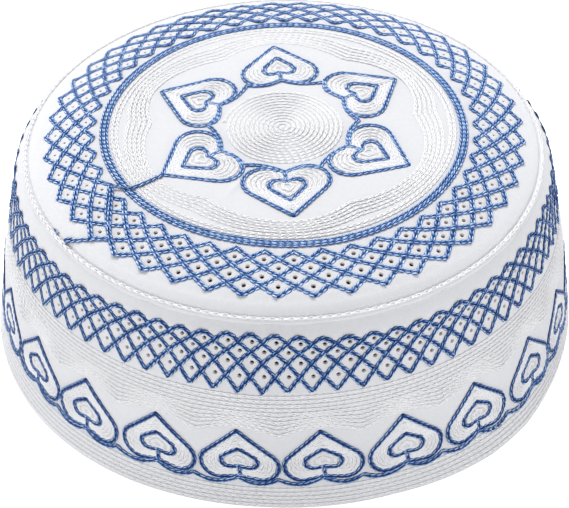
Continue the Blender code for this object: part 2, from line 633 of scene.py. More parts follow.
def heart_half(across, down, radius, cleft):
    """The right half of a heart, from its tip to its cleft: a straight side, a round lobe, a straight end."""
    centre = np.array([across, down])
    side_length = math.sqrt(across ** 2 + down ** 2 - radius ** 2)
    side_lean = math.atan2(across, down) + math.asin(radius / math.hypot(across, down))
    end_length = math.sqrt(across ** 2 + (down - cleft) ** 2 - radius ** 2)
    end_lean = math.atan2(across, down - cleft) - math.asin(radius / math.hypot(across, down - cleft))
    side_end = side_length * np.array([math.sin(side_lean), math.cos(side_lean)])
    end_start = np.array([0.0, cleft]) + end_length * np.array([math.sin(end_lean), math.cos(end_lean)])
    first = math.atan2(*(side_end - centre)[::-1])
    last = math.atan2(*(end_start - centre)[::-1])
    turn = np.linspace(first, last, 40)
    lobe = centre + radius * np.stack([np.cos(turn), np.sin(turn)], axis=1)
    return evenly(np.vstack([[0.0, 0.0], lobe, [0.0, cleft]]), 120)


def evenly(points, count):
    """The same line with evenly spaced points."""
    run = np.concatenate([[0.0], np.cumsum(np.linalg.norm(np.diff(points, axis=0), axis=1))])
    marks = np.linspace(0.0, run[-1], count)
    return np.stack([np.interp(marks, run, points[:, axis]) for axis in range(points.shape[1])], axis=1)


def heart_lines(outer, inner, inner_start):
    """Lines in the heart's own plane: blue half outlines with a stem, and white loops that fill the heart."""
    outer_half = heart_half(**outer)
    inner_half = heart_half(**inner) + [0.0, inner_start]
    stem = np.array([[0.0, inner["cleft"] + inner_start], [0.0, outer["cleft"]]])
    middle = np.array([0.0, inner_start + inner["down"]])
    fills = [outer_half + (inner_half - outer_half) * share for share in HEART_FILLS]
    fills += [middle + (inner_half - middle) * share for share in INNER_FILLS]
    blue = [half * [side, 1.0] for half in (outer_half, inner_half) for side in (-1.0, 1.0)]
    return blue + [stem], [closed_loop(half, start) for start, half in enumerate(fills)]


def closed_loop(half, start):
    """A whole heart from its half outline. Each loop starts at a different place."""
    loop = np.vstack([half, half[-2::-1] * [-1.0, 1.0]])
    turned = np.roll(loop[:-1], start * LOOP_START_STEP, axis=0)
    return np.vstack([turned, turned[:1]])


CROWN_OUTLINES, CROWN_LOOPS = heart_lines(CROWN_HEART, CROWN_INNER, CROWN_INNER_START)
SIDE_OUTLINES, SIDE_LOOPS = heart_lines(SIDE_HEART, SIDE_INNER, SIDE_INNER_START)


def crown_heart_rows(lines):
    """Lays lines of a heart's plane between the tip and the cleft of each of the crown's hearts."""
    rows = []
    for tip_azimuth, tip_radius, cleft_azimuth, cleft_radius in CROWN_HEARTS:
        start = around(tip_radius, tip_azimuth, 0.0)[:2]
        end = around(cleft_radius, cleft_azimuth, 0.0)[:2]
        inward = (end - start) / CROWN_HEART["cleft"]
        sideways = np.array([-inward[1], inward[0]])
        rows += [crown_plane_row(start + line[:, :1] * sideways + line[:, 1:] * inward) for line in lines]
    return rows


def side_heart_rows(lines):
    """Lays lines of a heart's plane on each of the side's hearts, tip up and leaning a little."""
    rows = []
    for azimuth in side_heart_azimuths():
        stretch = (SIDE_HEART_TIP - varied(SIDE_CLEFTS, azimuth)) / SIDE_HEART["cleft"]
        for line in lines:
            height = SIDE_HEART_TIP - stretch * line[:, 1]
            sideways = line[:, 0] + SIDE_HEART_LEAN * line[:, 1]
            rows.append(on_side(height, azimuth + np.degrees(sideways / side_radius(height))))
    return rows


def side_heart_azimuths():
    even = SIDE_HEART_AZIMUTH + SIDE_HEART_STEP * np.arange(SIDE_HEARTS)
    return even + varied(SIDE_HEART_DRIFT, even)


def wave_share(azimuth, crests, points):
    """0 over each heart's tip and 1 at each point between hearts, with a round crest and a sharp point."""
    places = np.concatenate([crests, points])
    marks = np.concatenate([np.zeros(len(crests)), np.ones(len(points))])
    return np.interp(azimuth, places, marks, period=360.0) ** WAVE_SHARPNESS


def closed_rows(place, levels, seed):
    """Rows right round the hat. Each starts at an azimuth of its own, so that stitches don't line up."""
    chance = np.random.default_rng(seed)
    rows = []
    for level in levels:
        azimuth = chance.uniform(0.0, 360.0) + np.linspace(0.0, 360.0, ROUND_SAMPLES)
        value = level(azimuth) if callable(level) else level + 0.0 * azimuth
        rows.append(place(value, azimuth))
    return rows


def waves(table, crests, points):
    """A function of azimuth for each wavy row of a table."""

    def wave(crest, point):
        return lambda azimuth: crest + (point - crest) * wave_share(azimuth, crests, points)

    return [wave(crest, point) for crest, point in table]


def crown_white_rows():
    """The spiral in the middle and the rows between the hearts and the ring."""
    turns = SPIRAL_RADIUS / SPIRAL_PITCH
    turn = np.linspace(SPIRAL_START_TURN, turns, int(turns * 120))
    crests = np.array([heart[0] for heart in CROWN_HEARTS])
    points = np.array([point[0] for point in SCALLOP_POINTS])
    levels = list(CROWN_STRAIGHT_ROWS) + waves(CROWN_WAVES, crests, points)
    return [on_crown(turn * SPIRAL_PITCH, turn * 360.0)] + closed_rows(on_crown, levels, 31)


def side_white_rows():
    """The straight rows under the lattice and the wavy rows over the hearts."""
    crests = side_heart_azimuths()
    points = crests + SIDE_HEART_STEP / 2.0
    levels = list(SIDE_STRAIGHT_ROWS) + waves(SIDE_WAVES, crests, points)
    return closed_rows(on_side, levels, 32)


def scallop(start, end, bulge):
    """A shallow arc between two points of a plane, bulging along a given direction."""
    part = np.linspace(0.0, 1.0, 40)[:, None]
    return start + (end - start) * part + bulge * 4.0 * part * (1.0 - part)


def crown_scallops():
    """The blue ring inside the hearts, with a point at each cleft and between each two hearts."""
    corners = sorted([(heart[2], heart[3]) for heart in CROWN_HEARTS] + SCALLOP_POINTS)
    rows = []
    for (first, near), (second, far) in zip(corners, corners[1:] + corners[:1]):
        start = around(near, first, 0.0)[:2]
        end = around(far, second, 0.0)[:2]
        inward = -SCALLOP_BULGE * unit(start + end)
        rows.append(crown_plane_row(scallop(start, end, inward)))
    return rows


def side_scallops():
    """Two hanging arcs under each heart, from its cleft to the points beside it."""
    tips = side_heart_azimuths()
    after = np.append(tips[1:], tips[0] + 360.0)
    rows = []
    for tip, following in zip(tips, after):
        point = (tip + following) / 2.0
        for cleft in (tip, following):
            top = varied(SIDE_CLEFTS, cleft) - SIDE_SCALLOP_START
            start = np.array([cleft + SIDE_SCALLOP_SHIFT, top])
            end = np.array([point, varied(SIDE_POINTS, point)])
            arc = scallop(start, end, np.array([0.0, -SIDE_SCALLOP_DROP]))
            rows.append(on_side(arc[:, 1], arc[:, 0]))
    return rows


# Stitches

def select_only(piece):
    bpy.ops.object.select_all(action="DESELECT")
    piece.select_set(True)
    bpy.context.view_layer.objects.active = piece


def edit_all(piece):
    """Opens a piece in edit mode, with all of it selected."""
    select_only(piece)
    bpy.ops.object.mode_set(mode="EDIT")
    bpy.ops.mesh.select_all(action="SELECT")


def new_object(name, data):
    piece = bpy.data.objects.new(name, data)
    bpy.context.scene.collection.objects.link(piece)
    return piece


def read_array(items, name, width=1, kind=float):
    """A mesh's values as an array, with a row for each item where an item has several."""
    values = np.empty(len(items) * width, kind)
    items.foreach_get(name, values)
    return values if width == 1 else values.reshape(-1, width)


def chain_link(name, sides, rings):
    """One chain stitch along +X, for a length, a width and a height of 1: a loop of two plump legs.

    The legs start low inside the stitch before, spread and rise to a crest, and bend down at their end.
    """
    legs = []
    for side in (-1.0, 1.0):
        bpy.ops.mesh.primitive_uv_sphere_add(segments=sides, ring_count=rings, radius=1.0)
        leg = bpy.context.object
        edit_all(leg)
        bpy.ops.transform.rotate(value=math.pi / 2, orient_axis="Y", center_override=(0, 0, 0))
        bpy.ops.object.mode_set(mode="OBJECT")
        for corner in leg.data.vertices:
            plump = 1.0 if abs(corner.co.x) in (0.0, 1.0) else LEG_PLUMPNESS
            forward = LEG_MIDDLE + LEG_REACH * math.copysign(abs(corner.co.x) ** 0.7, corner.co.x)
            spread = LEG_GAP + LEG_SPREAD * math.sin(math.pi / 2 * min(max(forward + 0.1, 0.0), 1.0))
            crest = LEG_CREST * math.sin(math.pi / 2 * min(max(forward + 0.3, 0.0) / 1.1, 1.0))
            drop = LEG_END_DROP * max(0.0, forward - 0.85)
            corner.co.x = forward
            corner.co.y = side * spread + LEG_HALF_WIDTH * plump * corner.co.y
            corner.co.z = crest - drop + LEG_HALF_HEIGHT * plump * corner.co.z
        legs.append(leg)
    select_only(legs[0])
    legs[1].select_set(True)
    bpy.ops.object.join()
    link = bpy.context.object
    link.name = name
    edit_all(link)
    bpy.ops.mesh.normals_make_consistent(inside=False)
    bpy.ops.object.mode_set(mode="OBJECT")
    return link


def link_arrays(link, painted_shade_of):
    """A link's corners, faces, texture coordinates and crest, which is its painted shade and highlight, as
    arrays, ready to be copied.
    """
    mesh = link.data
    corners = read_array(mesh.vertices, "co", 3)
    loops = read_array(mesh.loops, "vertex_index", kind=int)
    starts = read_array(mesh.polygons, "loop_start", kind=int)
    flat = read_array(mesh.uv_layers.active.data, "uv", 2)
    bpy.data.objects.remove(link)
    return corners, loops, starts, flat, painted_shade_of(corners)


def painted_stitch_shade(shape):
    """Painted shade and highlight for each corner of a link: 0, darkest, in the hole, at the start and on the
    flanks, where shade falls, and 1, lightest, on the crest, where the highlight falls.
    """
    rise = np.clip((shape[:, 2] - 0.10) / 0.50, 0.0, 1.0)
    start = np.clip((shape[:, 0] + 0.15) / 0.55, 0.0, 1.0)
    out = np.clip((0.56 - np.abs(shape[:, 1])) / 0.18, 0.0, 1.0)
    hole = np.clip(np.abs(shape[:, 1]) / 0.12, 0.0, 1.0)
    return rise * start * out * hole


def painted_groove_shade(shape):
    """The same painted shade for close white rows, where only the grooves between the rows are painted dark.
    """
    return np.clip((0.56 - np.abs(shape[:, 1])) / 0.19, 0.0, 1.0)


def stitch_places(row, stitch, width, height):
    """Where each stitch of a row starts, and its three directions at its size."""
    points, outward = row
    run = np.concatenate([[0.0], np.cumsum(np.linalg.norm(np.diff(points, axis=0), axis=1))])
    count = max(1, round(run[-1] / stitch))
    marks = np.linspace(0.0, run[-1], count + 1)
    middles = (marks[1:] + marks[:-1]) / 2.0
    knots = np.stack([np.interp(marks, run, points[:, axis]) for axis in range(3)], axis=1)
    up = unit(np.stack([np.interp(middles, run, outward[:, axis]) for axis in range(3)], axis=1))
    along = knots[1:] - knots[:-1]
    across = unit(np.cross(up, along))
    up = unit(np.cross(along, across))
    return knots[:-1], along, across * width, up * height


def sew(name, rows, link, size, finish, seed, shade_softness=0.0):
    """One mesh that holds a copy of the link for every stitch of every row.

    A shade softness above 0 makes the painted darks fainter, and one below 0 makes them deeper. The crest
    attribute carries this painted shade and highlight to the finish.
    """
    stitch, width, height = size
    places = [stitch_places(row, stitch, width, height) for row in rows]
    start, along, across, up = (np.concatenate(parts) for parts in zip(*places))
    shape, loops, starts, flat, light = link
    count = len(start)
    chance = np.random.default_rng(seed)
    across = across * chance.uniform(*WIDTH_RANGE, (count, 1))
    up = up * chance.uniform(*HEIGHT_RANGE, (count, 1))
    corners = start[:, None] + shape[:, 0, None] * along[:, None]
    corners = corners + shape[:, 1, None] * across[:, None] + shape[:, 2, None] * up[:, None]
    numbers = np.arange(count)[:, None]
    mesh = bpy.data.meshes.new(name)
    mesh.vertices.add(count * len(shape))
    mesh.vertices.foreach_set("co", corners.ravel())
    mesh.loops.add(count * len(loops))
    mesh.loops.foreach_set("vertex_index", (loops + numbers * len(shape)).ravel())
    mesh.polygons.add(count * len(starts))
    mesh.polygons.foreach_set("loop_start", (starts + numbers * len(loops)).ravel())
    mesh.update(calc_edges=True)
    layer = mesh.uv_layers.new(name="thread")
    layer.data.foreach_set("uv", np.tile(flat, (count, 1)).ravel())
    tone = mesh.attributes.new("tone", "FLOAT", "POINT")
    tone.data.foreach_set("value", np.repeat(chance.uniform(0.0, 1.0, count), len(shape)))
    # Painted shade and highlight: each corner's crest value, softened or deepened by the shade softness
    crest = mesh.attributes.new("crest", "FLOAT", "POINT")
    crest.data.foreach_set("value", np.tile(np.clip(shade_softness + (1.0 - shade_softness) * light, 0.0, 1.0), count))
    mesh.shade_smooth()
    mesh.materials.append(finish)
    piece = new_object(name, mesh)
    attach(piece, "root")
    return piece


# Cloth

def turned_sheet(name, profile, columns, first):
    """A sheet turned round the axis from a profile of radii and heights. It starts at an azimuth."""
    corners = [tuple(around(radius, first, height)) for radius, height in profile]
    mesh = bpy.data.meshes.new(name)
    mesh.from_pydata(corners, [(at, at + 1) for at in range(len(corners) - 1)], [])
    sheet = new_object(name, mesh)
    edit_all(sheet)
    bpy.ops.mesh.spin(steps=columns, angle=math.tau, center=(0, 0, 0), axis=(0, 0, 1))
    bpy.ops.mesh.select_all(action="SELECT")
    bpy.ops.mesh.remove_doubles(threshold=0.00001)
    bpy.ops.mesh.normals_make_consistent(inside=False)
    bpy.ops.object.mode_set(mode="OBJECT")
    return sheet


def corner_array(sheet):
    return read_array(sheet.data.vertices, "co", 3)


def open_eyelets(sheet, centres):
    """Deletes the corner at each eyelet's centre with its faces, which leaves a ring of eight corners."""
    select_only(sheet)
    bpy.ops.object.mode_set(mode="EDIT")
    bpy.ops.mesh.select_mode(type="VERT")
    bpy.ops.mesh.select_all(action="DESELECT")
    bpy.ops.object.mode_set(mode="OBJECT")
    sheet.data.vertices.foreach_set("select", centres)
    bpy.ops.object.mode_set(mode="EDIT")
    bpy.ops.mesh.delete(type="VERT")
    bpy.ops.object.mode_set(mode="OBJECT")


def mark_eyelets(sheet, rim):
    """Stores where the cloth is cut, for the painted shade round each eyelet in its finish."""
    eyelet = sheet.data.attributes.new("eyelet", "FLOAT", "POINT")
    eyelet.data.foreach_set("value", rim.astype(float))


def thicken(sheet):
    wall = sheet.modifiers.new("wall", "SOLIDIFY")
    wall.thickness = CLOTH
    wall.offset = -1.0
    select_only(sheet)
    bpy.ops.object.modifier_apply(modifier=wall.name)


def taper_eyelets(sheet, rim, middles):
    """Draws each eyelet's inner edge up and in, so that its wall slopes and catches the light."""
    corners = corner_array(sheet)
    outer = corners[:len(rim)][rim]
    inner = corners[len(rim):][rim]
    wall = EYELET_WALL_DEPTH * (inner - outer)
    corners[len(rim):][rim] = outer + wall + EYELET_WALL_DRAW * (middles[rim] - outer)
    sheet.data.vertices.foreach_set("co", corners.ravel())


def flat_map(sheet, across, up):
    """Texture coordinates in metres, from two values for each corner."""
    loops = read_array(sheet.data.loops, "vertex_index", kind=int)
    layer = sheet.data.uv_layers.new(name="cloth")
    layer.data.foreach_set("uv", np.stack([across[loops], up[loops]], axis=1).ravel())


def spaced(start, end, step):
    return list(np.linspace(start, end, max(2, round(abs(end - start) / step) + 1)))


def places_in_cells(cloth, lattice):
    """Each corner's level and azimuth, and how far it lies from the nearest eyelet, round and across."""
    corners = corner_array(cloth)
    level = lattice.level_of(corners)
    azimuth = azimuth_of(corners)
    return level, azimuth, *lattice.from_eyelet(level, azimuth)


def pierce(cloth, lattice):
    """Opens the eyelets. Returns the cloth's points, its outward directions and its relief, which corners
    are eyelet rims, and the middle of the eyelet that each corner is nearest to.
    """
    level, azimuth, sideways, across = places_in_cells(cloth, lattice)
    open_eyelets(cloth, (np.abs(across) < 0.05 * MM) & (np.abs(sideways) < 0.02))
    level, azimuth, sideways, across = places_in_cells(cloth, lattice)
    swell = lattice.puff(level, azimuth)
    round_way = sideways * np.radians(lattice.step) * lattice.girth(level)
    away = np.hypot(across, round_way)
    column = 360.0 / lattice.columns / lattice.step
    rim = (np.abs(across) < 1.05 * EYELET_RADIUS) & (np.abs(sideways) < 1.05 * column)
    size = EYELET_RADIUS * lattice.open_share(azimuth)
    pull = np.where(rim, size / np.maximum(away, 0.1 * MM) - 1.0, 0.0)
    near = np.exp(-(away / EYELET_REACH) ** 4) * (np.abs(sideways) < 0.5)
    turn, climb = lattice.eyelet_shift
    middle_azimuth = azimuth - sideways * lattice.step + near * turn
    middles = lattice.place(level - across + near * climb, middle_azimuth)[0]
    azimuth = azimuth + pull * sideways * lattice.step + near * turn
    points, outward = lattice.place(level + pull * across + near * climb, azimuth)
    relief = swell - np.where(rim, EYELET_DIP, 0.0)
    return points, outward, relief, rim, middles


def pierced_cloth(name, profile, lattice, folds):
    """A sheet with its eyelets cut, its relief and its thickness."""
    cloth = turned_sheet(name, profile, lattice.columns, lattice.tip_azimuth)
    points, outward, relief, rim, middles = pierce(cloth, lattice)
    points = points + outward * (relief + folds(points))[:, None]
    cloth.data.vertices.foreach_set("co", points.ravel())
    mark_eyelets(cloth, rim)
    thicken(cloth)
    taper_eyelets(cloth, rim, middles)
    return cloth


def crown_cloth(finish):
    """The pierced top, with puffed cells, a full lip and a small pucker beside the front heart."""
    rings = spaced(0.0, 20.0 * MM, 4.0 * MM) + spaced(21.5 * MM, 56.5 * MM, 1.5 * MM)
    rings += [*CROWN.sheet_levels(), *LIP_RINGS, CROWN_SECTIONS[-1][0]]
    profile = [(radius, float(crown_height(radius))) for radius in rings]
    cloth = pierced_cloth("crown_cloth", profile, CROWN, crown_folds)
    corners = corner_array(cloth)
    flat_map(cloth, corners[:, 0], corners[:, 1])
    return dress_cloth(cloth, "crown_panel", finish)


def crown_folds(points):
    """The lip's fullness, a faint unevenness and one pucker left of the front heart."""
    radius = radius_of(points)
    azimuth = azimuth_of(points)
    lip = LIP_FULLNESS * np.exp(-((radius - LIP_MIDDLE) / LIP_BREADTH) ** 2)
    uneven = CROWN_UNEVENNESS * np.sin(3 * np.radians(azimuth) + 1.0) * np.sin(radius / (9.0 * MM))
    flat = around(radius, azimuth, 0.0)[:, :2]
    start = np.array(PUCKER_START)
    end = np.array(PUCKER_END)
    along = unit(end - start)
    share = np.clip((flat - start) @ along / np.linalg.norm(end - start), 0.0, 1.0)
    away = np.linalg.norm(flat - start - share[:, None] * (end - start), axis=1)
    across = PUCKER_HEIGHT * np.exp(-(away / PUCKER_BREADTH) ** 2)
    return lip + uneven + across * np.sin(math.pi * np.clip(share, 0.02, 0.98))


def side_cloth(finish):
    """The pierced, tapered wall, with puffed cells."""
    heights = spaced(0.0, 39.0 * MM, 1.9 * MM) + SIDE.sheet_levels()
    heights += [(SIDE_LATTICE[0][1] + SIDE_TOP) / 2.0, SIDE_TOP, SIDE_TOP + 0.9 * MM]
    profile = [(float(side_radius(height)), height) for height in heights]
    cloth = pierced_cloth("side_cloth", profile, SIDE, lambda points: 0.0)
    corners = corner_array(cloth)
    corners[:, 2] = np.maximum(corners[:, 2], 0.0)
    cloth.data.vertices.foreach_set("co", corners.ravel())
    flat_map(cloth, np.radians(azimuth_of(corners)) * RIM_RADIUS, corners[:, 2])
    return dress_cloth(cloth, "side_band", finish)


def dress_cloth(cloth, node, finish):
    cloth.data.shade_smooth()
    cloth.data.set_sharp_from_angle(angle=math.radians(50.0))
    cloth.data.materials.clear()
    cloth.data.materials.append(finish)
    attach(cloth, "root")
    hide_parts(node)
    return cloth


def seam_roll(finish):
    """The white roll in the seam, a little uneven."""
    bpy.ops.object.select_all(action="DESELECT")
    bpy.ops.mesh.primitive_torus_add(
        major_segments=576,
        minor_segments=12,
        major_radius=PIPING_RING,
        minor_radius=PIPING_RADIUS,
        location=(0, 0, PIPING_HEIGHT),
    )
    roll = bpy.context.object
    roll.name = "seam_roll"
    bpy.ops.object.transform_apply(location=True)
    corners = corner_array(roll)
    azimuth = azimuth_of(corners)
    angle = np.radians(azimuth)
    middle = around(PIPING_RING, azimuth, PIPING_HEIGHT)
    pull = 1.0 + ROLL_UNEVENNESS * np.sin(angle * 41) + ROLL_UNEVENNESS * np.sin(angle * 29)
    corners = middle + (corners - middle) * pull[:, None]
    roll.data.vertices.foreach_set("co", corners.ravel())
    roll.data.shade_smooth()
    roll.data.materials.append(finish)
    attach(roll, "root")
    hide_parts("seam_piping")
    return roll


def seam_row():
    """The row of stitches along the top of the roll."""
    circle = np.linspace(0.0, 360.0, ROUND_SAMPLES)
    reach = PIPING_RADIUS - SEAM_ROW_SINK
    out = math.sin(SEAM_ROW_LEAN)
    up = math.cos(SEAM_ROW_LEAN)
    points = around(PIPING_RING + reach * out, circle, PIPING_HEIGHT + reach * up)
    return [(points, unit(around(out, circle, up)))]


# Finishes

def math_node(tree, operation, *values):
    node = tree.nodes.new("ShaderNodeMath")
    node.operation = operation
    for socket, value in zip(node.inputs, values):
        if isinstance(value, (int, float)):
            socket.default_value = value
        else:
            tree.links.new(value, socket)
    return node.outputs[0]


def new_group(name, inputs, outputs):
    """A shader node group for numbers, with its sockets inside by name."""
    group = bpy.data.node_groups.new(name, "ShaderNodeTree")
    for socket in inputs:
        group.interface.new_socket(socket, in_out="INPUT", socket_type="NodeSocketFloat")
    for socket in outputs:
        group.interface.new_socket(socket, in_out="OUTPUT", socket_type="NodeSocketFloat")
    return group, group.nodes.new("NodeGroupInput").outputs, group.nodes.new("NodeGroupOutput").inputs


def map_axes(tree, name):
    """The two coordinates of a piece's own UV map."""
    chart = tree.nodes.new("ShaderNodeUVMap")
    chart.uv_map = name
    split = tree.nodes.new("ShaderNodeSeparateXYZ")
    tree.links.new(chart.outputs["UV"], split.inputs[0])
    return split.outputs[0], split.outputs[1]


def weave_group():
    """Plain weave: threads over and under each other, with a few thicker ones. Gives a height and a tone."""
    group, inside, outside = new_group("cotton_weave", ["Threads per metre"], ["Height", "Tone"])
    waves_both_ways = []
    for axis in map_axes(group, "cloth"):
        threads = math_node(group, "MULTIPLY", axis, inside["Threads per metre"])
        waves_both_ways.append(math_node(group, "SINE", math_node(group, "MULTIPLY", threads, math.pi)))
    cross = math_node(group, "MULTIPLY", *waves_both_ways)
    place = group.nodes.new("ShaderNodeTexCoord")
    slub = group.nodes.new("ShaderNodeTexNoise")
    slub.inputs["Scale"].default_value = 900.0
    slub.inputs["Detail"].default_value = 3.0
    group.links.new(place.outputs["Object"], slub.inputs["Vector"])
    height = math_node(group, "MULTIPLY_ADD", cross, 0.35, slub.outputs[0])
    group.links.new(height, outside["Height"])
    group.links.new(slub.outputs[0], outside["Tone"])
    return group


def fibre_group():
    """Twisted thread: fine ridges wind round each leg. Gives a height, and a tone with painted shade, dark in
    the holes, on the flanks and in the grooves between the plies, with painted highlight on the crest and a
    little random unevenness from stitch to stitch.
    """
    numbers = ["Twist", "Ply shade depth", "Unevenness"]
    group, inside, outside = new_group("thread_fibres", numbers, ["Height", "Tone"])
    round_leg, along_leg = map_axes(group, "thread")
    wind = math_node(group, "MULTIPLY", along_leg, inside["Twist"])
    angle = math_node(group, "MULTIPLY", math_node(group, "MULTIPLY_ADD", round_leg, 3.0, wind), math.tau)
    ridge = math_node(group, "MULTIPLY_ADD", math_node(group, "SINE", angle), 0.5, 0.5)
    # The stitch's painted shade and highlight, stored on its corners
    crest = stored_value(group, "crest")
    fall = math_node(group, "MULTIPLY", stored_value(group, "tone"), inside["Unevenness"])
    stitch_tone = math_node(group, "SUBTRACT", 1.0, fall)
    # Painted shade in the grooves between the plies
    ply_groove_shade = math_node(group, "MULTIPLY", math_node(group, "SUBTRACT", ridge, 1.0), inside["Ply shade depth"])
    ply_shade = math_node(group, "ADD", ply_groove_shade, 1.0)
    tone = math_node(group, "MULTIPLY", math_node(group, "MULTIPLY", crest, stitch_tone), ply_shade)
    group.links.new(ridge, outside["Height"])
    group.links.new(tone, outside["Tone"])
    return group


def stored_value(tree, name):
    stored = tree.nodes.new("ShaderNodeAttribute")
    stored.attribute_name = name
    return stored.outputs["Fac"]


def finish_base(name, roughness):
    finish = bpy.data.materials.new(name)
    finish.use_nodes = True
    shader = finish.node_tree.nodes["Principled BSDF"]
    shader.inputs["Roughness"].default_value = roughness
    return finish, finish.node_tree, shader


def placed_group(tree, group, values):
    """A group in a material, with its own values by the names of the group's inputs."""
    node = tree.nodes.new("ShaderNodeGroup")
    node.node_tree = group
    for name, value in values.items():
        node.inputs[name].default_value = value
    return node


def colour_between(tree, share, *stops):
    """A colour from evenly spaced stops."""
    ramp = tree.nodes.new("ShaderNodeValToRGB")
    places = ramp.color_ramp.elements
    for number in range(len(stops) - 2):
        places.new((number + 1.0) / (len(stops) - 1.0))
    for place, stop in zip(places, stops):
        place.color = (*stop, 1.0)
    tree.links.new(share, ramp.inputs[0])
    return ramp.outputs[0]


def bumped(tree, shader, height, distance, strength):
    bump = tree.nodes.new("ShaderNodeBump")
    bump.inputs["Distance"].default_value = distance
    bump.inputs["Strength"].default_value = strength
    tree.links.new(height, bump.inputs["Height"])
    tree.links.new(bump.outputs[0], shader.inputs["Normal"])


def mixed(tree, share, start, end):
    mix = tree.nodes.new("ShaderNodeMix")
    mix.data_type = "RGBA"
    tree.links.new(share, mix.inputs["Factor"])
    tree.links.new(start, mix.inputs["A"])
    mix.inputs["B"].default_value = (*end, 1.0)
    return mix.outputs["Result"]


def cotton_finish(weave):
    """White cotton, with painted shade: a grey-brown tint where the eyelets cut through it stands in for the
    shade in each hole.
    """
    finish, tree, shader = finish_base("white_cotton_cloth", 0.85)
    shader.inputs["Sheen Weight"].default_value = 0.2
    shader.inputs["Sheen Roughness"].default_value = 0.5
    cloth = placed_group(tree, weave, {"Threads per metre": 3000.0})
    colour = colour_between(tree, cloth.outputs["Tone"], (0.74, 0.745, 0.77), (0.81, 0.815, 0.835))
    # Painted shade: a grey-brown tint on the eyelets' rims and walls for the shade in each hole
    rim = math_node(tree, "POWER", stored_value(tree, "eyelet"), 4.0)
    colour = mixed(tree, rim, colour, (0.80, 0.77, 0.76))
    tree.links.new(colour, shader.inputs["Base Color"])
    bumped(tree, shader, cloth.outputs["Height"], 0.12 * MM, 0.5)
    return finish


def thread_finish(name, fibres, stops, roughness, metallic, gloss, coat, ply_shade_depth, unevenness):
    """Satin thread with a clear sheen along its fibres from its gloss, and with painted shade and highlight
    from its colour stops.
    """
    finish, tree, shader = finish_base(name, roughness)
    shader.inputs["Specular IOR Level"].default_value = gloss
    shader.inputs["Metallic"].default_value = metallic
    shader.inputs["Coat Weight"].default_value = coat
    shader.inputs["Coat Roughness"].default_value = 0.28
    thread = placed_group(tree, fibres, {"Twist": 2.5, "Ply shade depth": ply_shade_depth, "Unevenness": unevenness})
    # Painted shade and highlight: the tone picks a colour from the stops
    tree.links.new(colour_between(tree, thread.outputs["Tone"], *stops), shader.inputs["Base Color"])
    bumped(tree, shader, thread.outputs["Height"], 0.08 * MM, 0.8)
    return finish


# Thread colours from the hole, over the flank, to the crest. The first stop is painted shade, the blue's last
# two stops are painted highlight, and the other stops are the thread's own colour.
BLUE_SHADED_STOPS = [(0.002, 0.008, 0.070), (0.025, 0.10, 0.34), (0.34, 0.54, 0.87), (0.88, 0.95, 1.00)]
WHITE_SHADED_STOPS = [(0.14, 0.14, 0.18), (0.88, 0.88, 0.91), (0.99, 0.99, 1.00)]


# The kufi

def build_kufi():
    weave = weave_group()
    fibres = fibre_group()
    cotton = cotton_finish(weave)
    blue = thread_finish(
        "blue_embroidery",
        fibres,
        BLUE_SHADED_STOPS,
        roughness=0.38,
        metallic=0.15,
        gloss=0.25,
        coat=0.0,
        ply_shade_depth=0.55,
        unevenness=0.30,
    )
    white = thread_finish(
        "white_embroidery",
        fibres,
        WHITE_SHADED_STOPS,
        roughness=0.40,
        metallic=0.0,
        gloss=0.8,
        coat=0.4,
        ply_shade_depth=0.12,
        unevenness=0.10,
    )

    crown_cloth(cotton)
    side_cloth(cotton)
    seam_roll(cotton)

    full_link = link_arrays(chain_link("full_link", sides=6, rings=4), painted_stitch_shade)
    light_link = link_arrays(chain_link("light_link", sides=5, rings=3), painted_groove_shade)
    sew_blue(full_link, blue)
    sew_white(light_link, white)


def line_on_crown(table):
    """A smooth row through listed points of the crown."""
    flat = np.array([around(radius, azimuth, 0.0)[:2] for azimuth, radius in table])
    part = np.arange(len(flat))
    fine = np.linspace(0.0, len(flat) - 1.0, 60)
    smooth = [smooth_line(list(zip(part, flat[:, axis])))(fine) for axis in range(2)]
    return crown_plane_row(np.stack(smooth, axis=1))


def loose_rows(tables):
    """Rows of loose thread, each lifted off the cloth by its own number of millimetres."""
    return [lifted(line_on_crown(table), lift * MM) for table, lift in tables]


def sew_blue(link, finish):
    """The ring, the lattices, the hearts and scallops, and the carry thread with its loose end."""
    stitch, width, height = BLUE_STITCH
    circle = np.linspace(0.0, 360.0, RING_SAMPLES)

    def sew_rows(name, rows, seed, shade_softness=0.0, breadth=1.0):
        size = (stitch, breadth * width, height)
        return sew(name, rows, link, size, finish, seed, shade_softness)

    round_rows = [on_crown(radius + varied(RING_DRIFT, circle), circle) for radius in RING_ROWS]
    # The shade softness paints light and shade by where the rows lie: the crown's rows get fainter painted
    # darks, where the light from above falls, and the side's rows far deeper ones, as painted shade.
    ring = sew_rows("crown_ring_rows", round_rows, seed=11, shade_softness=0.22)
    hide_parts("crown_ring")
    sew_rows("crown_lattice", CROWN.rows(), seed=12, shade_softness=0.22, breadth=1.10)
    sew_rows("side_lattice", SIDE.rows(), seed=13, shade_softness=-1.10)
    sew_rows("crown_hearts", crown_heart_rows(CROWN_OUTLINES), seed=14, shade_softness=0.20)
    sew_rows("crown_scallops", crown_scallops(), seed=15, shade_softness=0.20)
    sew_rows("side_hearts", side_heart_rows(SIDE_OUTLINES), seed=16, shade_softness=-1.90)
    sew_rows("side_scallops", side_scallops(), seed=17, shade_softness=-0.80)

    thick = loose_rows([(LOOSE_END, 0.1), (LOOSE_KNOT, 0.5), (CARRY_THREAD, 0.35), (DOUBLED_LEG, 0.35)])
    sew_rows("carry_thread", thick, seed=18)
    thin = loose_rows([(LOOSE_FLECK, 0.1), (CARRY_END, 0.6), (STRETCHED_TIP, 0.2)])
    sew("thin_thread", thin, link, THIN_STITCH, finish, seed=19)


